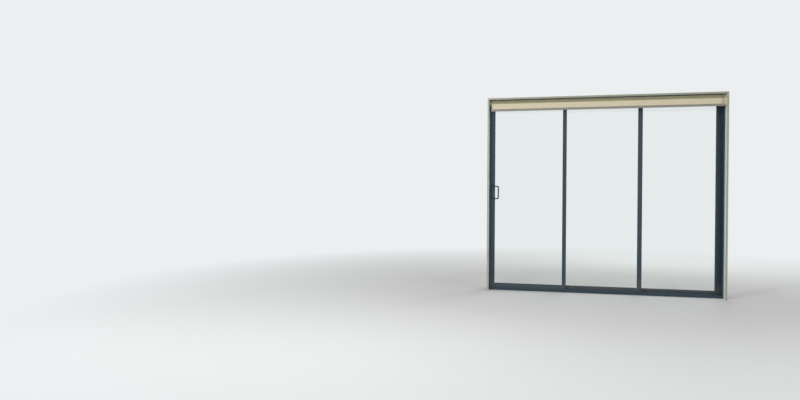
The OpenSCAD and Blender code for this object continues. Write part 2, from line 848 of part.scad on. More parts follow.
module lock_snib() {
    color(aluminium) translate([flat_x, room_face, handle_z + lock_spread]) rotate([90, 0, 0]) {
        cylinder(r = cylinder_r, h = plate_t + snib_neck);
        translate([0, 0, plate_t + snib_neck]) linear_extrude(height = snib_out) {
            square([snib_w, snib_len - snib_w], center = true);
            for (s = [-1, 1]) translate([0, s * (snib_len - snib_w) / 2]) circle(snib_w / 2);
        }
    }
}

module lock_cylinder() {
    color(steel) translate([flat_x, room_face, handle_z - lock_spread]) rotate([90, 0, 0]) difference() {
        cylinder(r = cylinder_r, h = plate_t + cylinder_out);
        translate([-key_w / 2, -key_h / 2, plate_t + cylinder_out - key_depth])
            cube([key_w, key_h, key_depth + eps]);
    }
}

// Roller blind, rolled up: brackets under the head lining carry the drive head, tube and idler
module blind_bracket() {
    top = frame_h - lining_t;
    cover_end = bracket_t + cover_t;
    lip_r = drive_r + lip_gap;
    lip_end = cover_gap - drive_len;
    translate([bracket_x, roll_y - bracket_w / 2, top - bracket_h]) cube([bracket_t, bracket_w, bracket_h]);
    translate([bracket_x + bracket_t - bracket_flange, roll_y - bracket_w / 2, top - bracket_t])
        cube([bracket_flange, bracket_w, bracket_t]);
    translate([bracket_x, roll_y, roll_z]) rotate([0, 90, 0]) rotate_extrude()
        polygon([[0, 0], [lip_r, 0], [lip_r, lip_end], [cover_r, lip_end],
            [cover_r, cover_end - cover_bevel], [cover_r - cover_bevel, cover_end], [0, cover_end]]);
}

module blind_brackets() {
    color(cream) for (s = [0, 1]) mirror([s, 0, 0]) blind_bracket();
}

// End of the blind: a plug in the tube, a collar at its end and a drum up to the bracket
module blind_end() {
    plug_r = tube_r - tube_wall - tube_fit;
    color(cream) translate([fabric_x, roll_y, roll_z]) rotate([0, 90, 0]) {
        translate([0, 0, -plug_len]) cylinder(r = plug_r, h = plug_len + tube_gap + eps);
        translate([0, 0, tube_fit]) cylinder(r = tube_r + collar_out, h = tube_gap - tube_fit);
        translate([0, 0, tube_gap]) cylinder(r = drive_r, h = drive_len);
    }
}

module blind_drive_head() {
    mirror([1, 0, 0]) blind_end();
}

module blind_idler() {
    blind_end();
}

module blind_tube() {
    color(steel) translate([-fabric_x, roll_y, roll_z]) rotate([0, 90, 0]) difference() {
        cylinder(r = tube_r, h = 2 * fabric_x);
        translate([0, 0, -eps]) cylinder(r = tube_r - tube_wall, h = 2 * fabric_x + 2 * eps);
    }
}

module blind_fabric() {
    color(cream) along_x(-fabric_x, fabric_x) difference() {
        union() {
            translate([roll_y, roll_z]) circle(roll_r, $fn = roll_facets);
            strip(roll_y - roll_r, roll_y - roll_r + flap_t, hem_z + hem_h - hem_slot, roll_z);
        }
        translate([roll_y, roll_z]) circle(tube_r + tube_fit, $fn = roll_facets);
    }
}

// Oval section of the hem bar, grown by a rim where its caps are
module hem_section(rim) {
    translate([hem_y, hem_z]) {
        translate([-hem_t / 2 - rim, hem_t / 2]) square([hem_t + 2 * rim, hem_h - hem_t]);
        for (z = [hem_t / 2, hem_h - hem_t / 2]) translate([0, z]) circle(hem_t / 2 + rim);
    }
}

module blind_hem_bar() {
    slot_half = flap_t / 2 + tube_fit;
    color("#96907f") {
        along_x(-fabric_x, fabric_x) difference() {
            hem_section(0);
            strip(hem_y - slot_half, hem_y + slot_half, hem_z + hem_h - hem_slot, hem_z + hem_h + eps);
        }
        for (s = [0, 1]) mirror([s, 0, 0]) along_x(fabric_x, fabric_x + hem_cap) hem_section(hem_cap_rim);
    }
}

frame_head();
frame_sill();
jamb_left();
jamb_right();
lining_left();
lining_right();
lining_head();
lock_keeper();
interlock_left(FIXED);  // fixed_stile_left
jamb_stile_right();  // fixed_stile_right
top_rail(FIXED);  // fixed_rail_top
bottom_rail(FIXED);  // fixed_rail_bottom
glass(FIXED);  // fixed_glass
gasket(FIXED);  // fixed_gasket
fixed_packers();
blind_brackets();
blind_drive_head();
blind_idler();
blind_tube();
blind_fabric();
blind_hem_bar();
interlock_left(MIDDLE);  // middle_stile_left
interlock_right(MIDDLE);  // middle_stile_right
top_rail(MIDDLE);  // middle_rail_top
bottom_rail(MIDDLE);  // middle_rail_bottom
glass(MIDDLE);  // middle_glass
gasket(MIDDLE);  // middle_gasket
wheels(MIDDLE);  // middle_wheels
carriages(MIDDLE);  // middle_carriages
guides(MIDDLE);  // middle_guides
leading_stile_lock();
interlock_right(LEADING);  // leading_stile_right
top_rail(LEADING);  // leading_rail_top
bottom_rail(LEADING);  // leading_rail_bottom
glass(LEADING);  // leading_glass
gasket(LEADING);  // leading_gasket
wheels(LEADING);  // leading_wheels
carriages(LEADING);  // leading_carriages
guides(LEADING);  // leading_guides
handle_inside();
handle_outside();
lock_case();
lock_hook();
lock_snib();
lock_cylinder();
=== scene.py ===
"""Finishes a three-panel sliding glass door set, its painted lining and its rolled-up roller blind."""

import json
import math

import bmesh
import bpy
from bpy.props import FloatProperty, FloatVectorProperty, IntProperty, PointerProperty
from mathutils import Matrix, Vector


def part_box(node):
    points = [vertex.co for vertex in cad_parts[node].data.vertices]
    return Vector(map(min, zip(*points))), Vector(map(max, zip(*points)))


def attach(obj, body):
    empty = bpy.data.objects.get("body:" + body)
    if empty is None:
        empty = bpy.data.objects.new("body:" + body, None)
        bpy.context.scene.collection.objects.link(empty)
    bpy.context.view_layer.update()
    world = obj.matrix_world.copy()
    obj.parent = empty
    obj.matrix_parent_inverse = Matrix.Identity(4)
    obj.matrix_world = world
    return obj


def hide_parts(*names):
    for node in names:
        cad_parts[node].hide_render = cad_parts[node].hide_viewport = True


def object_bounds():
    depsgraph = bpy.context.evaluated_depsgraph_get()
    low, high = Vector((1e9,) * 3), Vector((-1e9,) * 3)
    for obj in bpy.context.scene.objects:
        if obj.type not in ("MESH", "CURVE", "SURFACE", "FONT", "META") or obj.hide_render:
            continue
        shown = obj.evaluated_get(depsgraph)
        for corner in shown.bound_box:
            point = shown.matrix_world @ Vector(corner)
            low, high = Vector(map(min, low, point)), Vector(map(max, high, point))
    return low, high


bl_info = {
    "name": "Sliding door set",
    "version": (1, 0, 0),
    "blender": (4, 5, 0),
    "location": "3D View > Sidebar > Door set",
    "description": "Finishes, roller blind, fasteners and seals of a three-panel sliding glass door",
    "category": "Object",
}

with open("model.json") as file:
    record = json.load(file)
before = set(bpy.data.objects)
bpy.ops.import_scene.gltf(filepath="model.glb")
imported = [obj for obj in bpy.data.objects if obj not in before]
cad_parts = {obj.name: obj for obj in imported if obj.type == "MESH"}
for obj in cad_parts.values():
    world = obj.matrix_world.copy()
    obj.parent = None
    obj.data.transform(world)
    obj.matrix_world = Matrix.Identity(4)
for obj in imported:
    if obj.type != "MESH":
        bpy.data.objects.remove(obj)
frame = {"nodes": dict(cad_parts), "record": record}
CAD_LOW, CAD_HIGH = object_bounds()

MM = 0.001
PANELS = ("leading", "middle", "fixed")
LEFT, RIGHT = Vector((-1.0, 0.0, 0.0)), Vector((1.0, 0.0, 0.0))
TO_ROOM, TO_WEATHER = Vector((0.0, -1.0, 0.0)), Vector((0.0, 1.0, 0.0))
DOWN = Vector((0.0, 0.0, -1.0))

# Sizes of the CAD parts that their boxes don't give

RIB_ABOVE_RAIL = 9 * MM
RIB_HALF_WIDTH = 2 * MM
HEAD_BOX_HEIGHT = 15 * MM
FLANGE_THICKNESS = 3 * MM
PLATE_THICKNESS = 7 * MM
BRACKET_THICKNESS = 2.5 * MM


def centre(node):
    """The middle of a CAD node's box."""
    low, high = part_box(node)
    return (low + high) / 2


def opening_x():
    """Half the width between the side linings."""
    board_low, board_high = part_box("lining_left")
    return CAD_HIGH.x - (board_high.x - board_low.x)


def nodes_of(slot):
    """The names of the CAD nodes that the record gives this material slot."""
    return [part["node"] for part in frame["record"]["subparts"] if part["material_slot"] == slot]


def dress(names, material):
    """Gives a material to each of these CAD nodes."""
    for name in names:
        for holder in frame["nodes"][name].material_slots:
            holder.material = material


# Building blocks for node trees

def feed(tree, socket, value):
    """Links a socket to another node's output, or sets its own value."""
    if isinstance(value, bpy.types.NodeSocket):
        tree.links.new(value, socket)
    else:
        socket.default_value = value


def add(tree, kind, inputs=None, **settings):
    """Adds a node with these settings, and feeds its inputs by name or by index."""
    node = tree.nodes.new(kind)
    for name, value in settings.items():
        setattr(node, name, value)
    for name, value in (inputs or {}).items():
        feed(tree, node.inputs[name], value)
    return node


def maths(tree, operation, *values):
    """The result of one Math node."""
    return add(tree, "ShaderNodeMath", dict(enumerate(values)), operation=operation).outputs[0]


def times(tree, first, second):
    """Two values multiplied."""
    return maths(tree, "MULTIPLY", first, second)


def apart(tree, first, second):
    """How far two values are apart."""
    return maths(tree, "ABSOLUTE", maths(tree, "SUBTRACT", first, second))


def axes(tree, vector):
    """The three parts of a vector."""
    return add(tree, "ShaderNodeSeparateXYZ", {0: vector}).outputs


def joined(tree, x, y, z):
    """A vector from its three parts."""
    return add(tree, "ShaderNodeCombineXYZ", {"X": x, "Y": y, "Z": z}).outputs[0]


def noise(tree, place, scale, detail=2.0, stretch=None):
    """A noise from 0 to 1, stretched by a Mapping node where stretch gives a scale for each axis."""
    if stretch:
        place = add(tree, "ShaderNodeMapping", {"Vector": place, "Scale": stretch}).outputs[0]
    return add(tree, "ShaderNodeTexNoise", {"Vector": place, "Scale": scale, "Detail": detail}).outputs[0]


def ramp(tree, value, low, high, to_low=0.0, to_high=1.0):
    """Maps low..high to to_low..to_high, and holds the ends."""
    inputs = {"Value": value, "From Min": low, "From Max": high, "To Min": to_low, "To Max": to_high}
    return add(tree, "ShaderNodeMapRange", inputs).outputs[0]


def tint(tree, share, first, second):
    """Mixes two colours, with this share of the second."""
    node = add(tree, "ShaderNodeMix", {0: share, 6: first, 7: second}, data_type="RGBA")
    return node.outputs[2]


def shade(colour, by=1.0):
    """A colour with full alpha, made lighter or darker."""
    return (*(min(1.0, part * by) for part in colour[:3]), 1.0)


def mottle(tree, share, colour, low, high):
    """A colour that drifts between two shades of itself, given as multiples of it."""
    return tint(tree, share, shade(colour, low), shade(colour, high))


def start_material(name, constants=None):
    """A new material, its tree, its shader with these constant inputs, and Object coordinates."""
    material = bpy.data.materials.new(name)
    material.use_nodes = True
    tree = material.node_tree
    shader = tree.nodes["Principled BSDF"]
    for socket, value in (constants or {}).items():
        shader.inputs[socket].default_value = value
    place = tree.nodes.new("ShaderNodeTexCoord").outputs["Object"]
    return material, tree, shader, place


def set_finish(tree, shader, colour, roughness):
    """Links a shader's colour and its roughness."""
    feed(tree, shader.inputs["Base Color"], colour)
    feed(tree, shader.inputs["Roughness"], roughness)


def roughen(tree, shader, height, distance, strength=1.0):
    """Bumps a shader's surface by a height from 0 to 1 that stands for a distance in metres."""
    bump = add(tree, "ShaderNodeBump", {"Height": height, "Distance": distance, "Strength": strength})
    feed(tree, shader.inputs["Normal"], bump.outputs[0])


def show_mix(tree, share, first, second, output="Material Output"):
    """Shows two shaders mixed, with this share of the second."""
    mixed = add(tree, "ShaderNodeMixShader", {0: share, 1: first.outputs[0], 2: second.outputs[0]})
    feed(tree, tree.nodes[output].inputs["Surface"], mixed.outputs[0])


# Finishes

def powder_coat(name, colour, look, find_wear_and_highlight, wear_and_highlight_colour, to_metal=False):
    """Satin powder coat: faint clouds, orange peel, dust on ledges near the floor, painted light as pale
    speckles on the low rails, and the bare wear and painted highlight that the given finder marks.
    """
    material, tree, shader, place = start_material(name, {"Specular IOR Level": look.shine})
    axis = axes(tree, place)
    clouds = noise(tree, place, 1.7, 4.0)
    body = mottle(tree, clouds, colour, 1 - look.clouding, 1 + look.clouding)
    specks = ramp(tree, noise(tree, place, 90.0, 3.0), 0.55, 0.8, 0.0, 0.35)
    body = tint(tree, specks, body, shade(colour, 1.3))

    ledge_heights, rail_heights, sill_heights = (0.05, 0.12), (0.10, 0.19), (0.032, 0.045)
    upward = axes(tree, add(tree, "ShaderNodeNewGeometry").outputs["Normal"])[2]
    ledge = times(tree, ramp(tree, upward, 0.7, 0.98), ramp(tree, axis[2], *ledge_heights, 1.0, 0.25))
    drift = ramp(tree, noise(tree, place, 9.0, 6.0, (1.0, 3.0, 1.0)), 0.36, 0.72, 0.1, look.dust)
    # Painted light: pale speckles in the dust colour on the low rails stand in for light bounced up off the
    # floor, twice as strong on the panels deeper in the frame to offset their shade.
    outer = ramp(tree, axis[1], centre("leading_glass").y, centre("middle_glass").y, 1.0, 2.0)
    low_down = times(tree, ramp(tree, axis[2], *rail_heights, look.splash, 0.0), outer)
    painted_bounce_spots = ramp(tree, noise(tree, place, 16.0, 5.0), 0.3, 0.6, 0.5, 1.0)
    painted_bounce_spots = times(tree, painted_bounce_spots, ramp(tree, axis[2], *sill_heights))
    dust_and_painted_light = maths(tree, "MAXIMUM", times(tree, ledge, drift), times(tree, low_down, painted_bounce_spots))
    body = tint(tree, dust_and_painted_light, body, shade(look.dust_and_painted_light_colour))

    # worn is the bare track on the rib tops, and on the handle it is the painted highlight on the plate.
    worn = find_wear_and_highlight(tree, place, axis)
    if to_metal:
        feed(tree, shader.inputs["Metallic"], worn)
    gloss = ramp(tree, noise(tree, place, 34.0, 3.0), 0.3, 0.7, look.gloss - 0.05, look.gloss + 0.06)
    set_finish(tree, shader, tint(tree, worn, body, shade(wear_and_highlight_colour)),
               ramp(tree, dust_and_painted_light, 0.0, 1.0, gloss, 0.85))
    roughen(tree, shader, noise(tree, place, 620.0), 0.00012, 0.6)
    return material


def worn_ribs(tree, place, axis):
    """Where the wheels have polished the coat off the tops of the two ribs that they run on."""
    worn = 0.0
    bare_below, coated_below = 0.8 * MM, 1.4 * MM
    for panel in PANELS[:2]:
        rib_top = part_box(panel + "_rail_bottom")[0].z + RIB_ABOVE_RAIL
        off_line = apart(tree, axis[1], centre(panel + "_wheels").y)
        below_top = apart(tree, axis[2], rib_top)
        on_line = ramp(tree, off_line, RIB_HALF_WIDTH * 0.55, RIB_HALF_WIDTH * 0.95, 1.0, 0.0)
        on_top = ramp(tree, below_top, bare_below, coated_below, 1.0, 0.0)
        worn = maths(tree, "MAXIMUM", worn, times(tree, on_line, on_top))
    patches = ramp(tree, noise(tree, place, 5.0, 3.0, (1.0, 0.0, 0.0)), 0.3, 0.5, 0.55, 1.0)
    return times(tree, worn, patches)


def painted_plate_highlight(tree, place, axis):
    """A painted highlight: a lighter strip on the plate behind the pull, right of the key, that stands in for
    a reflection.
    """
    highlight_half_height, highlight_fade_end = 55 * MM, 80 * MM
    key_edge, highlight_edge = 9 * MM, 14 * MM
    at_highlight_height = ramp(tree, apart(tree, axis[2], centre("handle_inside").z), highlight_half_height, highlight_fade_end, 1.0, 0.0)
    key_x = centre("lock_cylinder").x
    beside_key = ramp(tree, axis[0], key_x + key_edge, key_x + highlight_edge)
    on_plate = maths(tree, "LESS_THAN", axis[0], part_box("leading_stile_lock")[1].x)
    worn = times(tree, at_highlight_height, times(tree, beside_key, on_plate))
    patches = ramp(tree, noise(tree, place, 26.0, 4.0, (1.0, 1.0, 0.5)), 0.38, 0.6, 0.12, 0.55)
    return times(tree, worn, patches)


def clear_glass(name, look):
    """Laminated glass with a faint green tint; its shadow lets the light through."""
    material, tree, shader, place = start_material(name, {"IOR": 1.5, "Transmission Weight": 1.0})
    film = noise(tree, place, 1.3, 4.0, (1.0, 1.0, 0.45))
    colour = mottle(tree, film, look.glass_colour, 0.985, 1.0)
    set_finish(tree, shader, colour, ramp(tree, film, 0.4, 0.8, 0.0, look.haze))
    through = add(tree, "ShaderNodeBsdfTransparent", {"Color": shade(look.glass_colour)})
    show_mix(tree, tree.nodes.new("ShaderNodeLightPath").outputs["Is Shadow Ray"], shader, through)
    return material


def extruded_rubber(name, look):
    """Black glazing rubber, a little chalked where the sun has been on it."""
    material, tree, shader, place = start_material(name, {"Specular IOR Level": 0.35})
    most = 0.6
    chalk = ramp(tree, noise(tree, place, 22.0, 5.0), 0.45, 0.8, 0.0, most)
    set_finish(tree, shader, mottle(tree, chalk, look.rubber_colour, 1.0, 2.2),
               ramp(tree, chalk, 0.0, most, 0.48, 0.72))
    roughen(tree, shader, noise(tree, place, 300.0), 0.0001, 0.5)
    return material


def painted_board(name, look, grain, lit_lap=0.0):
    """Semi-gloss paint, lighter on the faces in the opening as painted window light and darker on the front
    edge as painted shade of the wall, with some painted light lapping over the front edge as far as lit_lap;
    bare pine where it is covered.
    """
    material, tree, shader, place = start_material(name)
    axis = axes(tree, place)
    skin, front_band, lap_share, scuff_height = 0.5 * MM, (1.5 * MM, 2.5 * MM), 0.35, 0.5
    sideways = maths(tree, "GREATER_THAN", maths(tree, "ABSOLUTE", axis[0]), CAD_HIGH.x - skin)
    above = maths(tree, "GREATER_THAN", axis[2], CAD_HIGH.z - skin)
    hidden = maths(tree, "MAXIMUM", sideways, above)

    clouds = noise(tree, place, 3.1, 3.0)
    reveal = mottle(tree, clouds, look.lit_paint_colour, 0.97, 1.02)
    front = mottle(tree, clouds, look.shaded_edge_colour, 0.97, 1.03)
    # Painted light: the faces in the opening take the lit tone and the front edge the shaded tone; on the
    # left board a share of the lit tone laps over the front edge.
    lighter = ramp(tree, axis[1], *(CAD_LOW.y + depth for depth in front_band))
    if lit_lap:
        on_lap = maths(tree, "LESS_THAN", maths(tree, "ABSOLUTE", axis[0]), opening_x() + lit_lap)
        lighter = maths(tree, "MAXIMUM", lighter, times(tree, on_lap, lap_share))
    paint = tint(tree, lighter, front, reveal)
    scuffs = ramp(tree, noise(tree, place, 7.0, 4.0), 0.6, 0.8, 0.0, 0.14)
    low_down = ramp(tree, axis[2], 0.0, scuff_height, 1.0, 0.1)
    paint = tint(tree, times(tree, scuffs, low_down), paint, shade(look.lit_paint_colour, 0.6))

    rings = noise(tree, place, 1.0, 5.0, grain)
    pine = tint(tree, ramp(tree, rings, 0.3, 0.7), shade(look.pine_dark), shade(look.pine_light))
    stipple = noise(tree, place, 210.0)
    gloss = ramp(tree, stipple, 0.3, 0.7, 0.26, 0.38)
    set_finish(tree, shader, tint(tree, hidden, paint, pine), ramp(tree, hidden, 0.0, 1.0, gloss, 0.75))
    roughen(tree, shader, tint(tree, hidden, stipple, rings), 0.0003, 0.5)
    return material


def moulded_nylon(name, look):
    """Dark moulded nylon with a fine matt texture."""
    material, tree, shader, place = start_material(name)
    flow = noise(tree, place, 40.0, 4.0)
    set_finish(tree, shader, mottle(tree, flow, look.nylon_colour, 0.8, 1.3),
               ramp(tree, noise(tree, place, 120.0), 0.3, 0.7, 0.42, 0.6))
    roughen(tree, shader, noise(tree, place, 900.0), 0.00008, 0.5)
    return material


def brushed_metal(name, colour, gloss, along):
    """Metal with a fine grain, drawn out along the axis whose scale is lowest."""
    material, tree, shader, place = start_material(name, {"Metallic": 1.0})
    lines = noise(tree, place, 1.0, 4.0, along)
    set_finish(tree, shader, mottle(tree, lines, colour, 0.86, 1.08),
               ramp(tree, lines, 0.3, 0.7, gloss - 0.07, gloss + 0.08))
    roughen(tree, shader, lines, 0.00005, 0.6)
    return material


def roll_top_shade_and_dust(tree, place, look):
    """How much painted shade, with some dust, lies on the blind: most above a line near the middle of the
    roll, standing in for the shade on the roll's upper half.
    """
    blur = 5 * MM
    shade_line = centre("blind_tube").z - look.shade_line_drop
    patches = ramp(tree, noise(tree, place, 14.0, 4.0), 0.2, 0.8, 0.85, 1.0)
    above = ramp(tree, axes(tree, place)[2], shade_line - blur, shade_line + blur, 0.0, look.roll_top_shade_and_dust)
    return times(tree, above, patches)


def satin_plastic(name, colour, gloss, look, left_colour=None):
    """Satin paint or moulding of the blind, in another colour left of x = 0, with painted shade and dust on
    top.
    """
    material, tree, shader, place = start_material(name)
    flow = noise(tree, place, 7.0, 3.0, (0.4, 1.0, 1.0))
    body = mottle(tree, flow, colour, 0.94, 1.05)
    if left_colour:
        on_left = maths(tree, "LESS_THAN", axes(tree, place)[0], 0.0)
        body = tint(tree, on_left, body, mottle(tree, flow, left_colour, 0.9, 1.1))
    dust_and_painted_light = times(tree, roll_top_shade_and_dust(tree, place, look), 0.7)
    set_finish(tree, shader, tint(tree, dust_and_painted_light, body, shade(look.dust_and_painted_light_colour)),
               ramp(tree, noise(tree, place, 60.0), 0.3, 0.7, gloss - 0.05, gloss + 0.07))
    roughen(tree, shader, noise(tree, place, 700.0), 0.00006, 0.5)
    return material


def woven_cloth(name, look):
    """Plain-woven blind cloth with slubs both ways, read from its own map in metres, with painted shade and
    dust on top.
    """
    material, tree, shader, place = start_material(name, {
        "Sheen Weight": 0.25, "Sheen Roughness": 0.5, "Specular IOR Level": 0.25})
    flat = add(tree, "ShaderNodeUVMap", uv_map="cloth").outputs[0]
    axis = axes(tree, flat)
    waves = [maths(tree, "SINE", times(tree, axis[way], 2 * math.pi / look.thread)) for way in (0, 1)]
    weave = ramp(tree, times(tree, *waves), -1.0, 1.0)
    across = noise(tree, flat, 1.0, 3.0, (5.0, 900.0, 1.0))
    along = noise(tree, flat, 1.0, 3.0, (900.0, 5.0, 1.0))
    slubs = ramp(tree, maths(tree, "ADD", across, along), 0.75, 1.25)
    body = mottle(tree, slubs, look.cloth_colour, 0.9, 1.07)
    body = tint(tree, ramp(tree, weave, 0.0, 1.0, 0.25, 0.0), body, shade(look.cloth_colour, 0.72))
    dust_and_painted_light = roll_top_shade_and_dust(tree, place, look)
    set_finish(tree, shader, tint(tree, dust_and_painted_light, body, shade(look.dust_and_painted_light_colour)),
               ramp(tree, slubs, 0.0, 1.0, 0.78, 0.9))
    roughen(tree, shader, maths(tree, "ADD", weave, times(tree, slubs, 0.8)), 0.00018, 0.8)
    through = add(tree, "ShaderNodeBsdfTranslucent", {"Color": shade(look.cloth_colour, 1.1)})
    show_mix(tree, look.translucency, shader, through)
    return material


def pile_fibre(name, look):
    """Dark fibres of the brush seals."""
    material, tree, shader, place = start_material(name, {"Sheen Weight": 0.4})
    strands = noise(tree, place, 400.0)
    set_finish(tree, shader, mottle(tree, strands, look.pile_colour, 0.6, 1.6),
               ramp(tree, noise(tree, place, 200.0), 0.3, 0.7, 0.75, 0.95))
    return material


# Meshes and Geometry Nodes

def new_piece(name, vertices, faces, edges=()):
    """A linked object from points in the row frame."""
    mesh = bpy.data.meshes.new(name)
    mesh.from_pydata(vertices, edges, faces)
    piece = bpy.data.objects.new(name, mesh)
    bpy.context.scene.collection.objects.link(piece)
    return piece


def finish_piece(piece, body, material=None):
    """Gives a piece its body and, where one is given, its material."""
    if material:
        piece.data.materials.append(material)
    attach(piece, body)


def start_geometry_tree(name, sizes):
    """A Geometry Nodes tree with a geometry, these sizes and a material as its inputs."""
    tree = bpy.data.node_groups.new(name, "GeometryNodeTree")
    tree.interface.new_socket("Geometry", in_out="INPUT", socket_type="NodeSocketGeometry")
    for size, default in sizes.items():
        tree.interface.new_socket(size, in_out="INPUT", socket_type="NodeSocketFloat").default_value = default
    tree.interface.new_socket("Material", in_out="INPUT", socket_type="NodeSocketMaterial")
    tree.interface.new_socket("Geometry", in_out="OUTPUT", socket_type="NodeSocketGeometry")
    return tree, tree.nodes.new("NodeGroupInput").outputs


def end_geometry_tree(tree, geometry, material):
    """Realizes the instances, sets their material and hands them out."""
    real = add(tree, "GeometryNodeRealizeInstances", {0: geometry}).outputs[0]
    painted = add(tree, "GeometryNodeSetMaterial", {"Geometry": real, "Material": material}).outputs[0]
    add(tree, "NodeGroupOutput", {"Geometry": painted})


def cone(tree, sides, bottom, top, height, rings=1):
    """A closed cone or drum that stands on the origin."""
    return add(tree, "GeometryNodeMeshCone", {
        "Vertices": sides, "Side Segments": rings, "Radius Bottom": bottom, "Radius Top": top,
        "Depth": height}).outputs[0]


def lifted(tree, shape, height):
    """A shape moved up its Z axis."""
    up = joined(tree, 0.0, 0.0, height)
    return add(tree, "GeometryNodeTransform", {"Geometry": shape, "Translation": up}).outputs[0]


def on_points(tree, points, shape):
    """Puts a shape on each point, its Z axis along the way that the point faces."""
    way = add(tree, "GeometryNodeInputNamedAttribute", {"Name": "facing"}, data_type="FLOAT_VECTOR")
    turned = add(tree, "FunctionNodeAlignRotationToVector", {"Vector": way.outputs[0]}, axis="Z")
    return add(tree, "GeometryNodeInstanceOnPoints",
               {"Points": points, "Instance": shape, "Rotation": turned.outputs[0]}).outputs[0]


def screw_head_tree():
    """Pan heads with a cross recess, one on each point, in shares of their radius and height."""
    tree, given = start_geometry_tree("screw_heads", {"Radius": 4 * MM, "Height": 1.6 * MM})
    radius, height = given["Radius"], given["Height"]
    rim, crown = (1.0, 0.96, 0.45, 0.0), (0.94, 0.6, 0.65, 0.35)
    recess_width, recess_lift = 0.24, 1.05

    head = add(tree, "GeometryNodeMeshBoolean", operation="UNION", solver="MANIFOLD")
    for bottom, top, depth, lift in (rim, crown):
        drum = cone(tree, 20, times(tree, radius, bottom), times(tree, radius, top),
                    times(tree, height, depth))
        tree.links.new(lifted(tree, drum, times(tree, height, lift)), head.inputs["Mesh 2"])
    recessed = add(tree, "GeometryNodeMeshBoolean", {"Mesh 1": head.outputs[0]},
                   operation="DIFFERENCE", solver="MANIFOLD")
    narrow = times(tree, radius, recess_width)
    for x, y in ((radius, narrow), (narrow, radius)):
        bar = add(tree, "GeometryNodeMeshCube", {"Size": joined(tree, x, y, height)}).outputs[0]
        bar = lifted(tree, bar, times(tree, height, recess_lift))
        tree.links.new(bar, recessed.inputs["Mesh 2"])
    end_geometry_tree(tree, on_points(tree, given["Geometry"], recessed.outputs[0]), given["Material"])
    return tree


def cap_tree():
    """Low domed caps, one on each point."""
    tree, given = start_geometry_tree("cover_caps", {"Radius": 5 * MM, "Height": 0.8 * MM})
    radius, top_share = given["Radius"], 0.7
    dome = cone(tree, 20, radius, times(tree, radius, top_share), given["Height"], 2)
    end_geometry_tree(tree, on_points(tree, given["Geometry"], dome), given["Material"])
    return tree


def pile_tree():
    """Brush seals: slim tufts along each edge, leaning a little this way and that."""
    sizes = {"Spacing": 3 * MM, "Length": 5 * MM, "Width": 4 * MM, "Lean": 0.12}
    tree, given = start_geometry_tree("pile_seals", sizes)
    width, root_share, tip_share = given["Width"], 0.5, 0.3
    line = add(tree, "GeometryNodeMeshToCurve", {"Mesh": given["Geometry"]}).outputs[0]
    line = add(tree, "GeometryNodeResampleCurve", {"Curve": line, "Length": given["Spacing"]},
               mode="LENGTH").outputs[0]
    tuft = cone(tree, 4, times(tree, width, root_share), times(tree, width, tip_share), given["Length"])
    lean, back = given["Lean"], times(tree, given["Lean"], -1.0)
    low, high = joined(tree, back, back, 0.0), joined(tree, lean, lean, 0.0)
    tilt = add(tree, "FunctionNodeRandomValue", {"Min": low, "Max": high, "Seed": 3},
               data_type="FLOAT_VECTOR").outputs[0]
    leaning = {"Instances": on_points(tree, line, tuft), "Rotation": tilt}
    pile = add(tree, "GeometryNodeRotateInstances", leaning).outputs[0]
    end_geometry_tree(tree, pile, given["Material"])
    return tree


def set_facing(piece, directions):
    """Stores on the mesh the way that each point faces."""
    attribute = piece.data.attributes.new("facing", "FLOAT_VECTOR", "POINT")
    for item, direction in zip(attribute.data, directions):
        item.vector = direction


def grow(piece, tree, values):
    """Runs a Geometry Nodes tree on a piece and keeps the result as its plain mesh."""
    modifier = piece.modifiers.new(tree.name, "NODES")
    modifier.node_group = tree
    for item in tree.interface.items_tree:
        if item.in_out == "INPUT" and item.name in values:
            modifier[item.identifier] = values[item.name]
    seen = piece.evaluated_get(bpy.context.evaluated_depsgraph_get())
    result = bpy.data.meshes.new_from_object(seen)
    piece.modifiers.remove(modifier)
    piece.data = result
    result.name = piece.name


def fasten(name, body, slot, tree, places, radius, height, material):
    """Puts one head or cap on each place, given as a point and the way that it faces."""
    piece = new_piece(name, [point for point, _facing in places], [])
    set_facing(piece, [facing for _point, facing in places])
    grow(piece, tree, {"Radius": radius, "Height": height, "Material": material})
    finish_piece(piece, body)


# Settings that a user would change

def a_colour(name, description, default):
    """A colour without alpha."""
    return FloatVectorProperty(name=name, description=description, default=default, subtype="COLOR", size=3,
                               min=0.0, max=1.0)


def a_share(name, description, default, most=1.0):
    """A share or strength, from none to the most."""
    return FloatProperty(name=name, description=description, default=default, subtype="FACTOR", min=0.0,
                         max=most)


def a_length(name, description, default, least, most):
    """A length in metres."""
    return FloatProperty(name=name, description=description, default=default, subtype="DISTANCE",
                         unit="LENGTH", min=least, max=most)


def an_angle(name, description, degrees):
    """An angle, given in degrees and kept in radians."""
    return FloatProperty(name=name, description=description, default=math.radians(degrees),
                         subtype="ANGLE", unit="ROTATION")


def a_power(name, description, watts):
    """The power of a lamp."""
    return FloatProperty(name=name, description=description, default=watts, subtype="POWER", unit="POWER",
                         min=0.0)


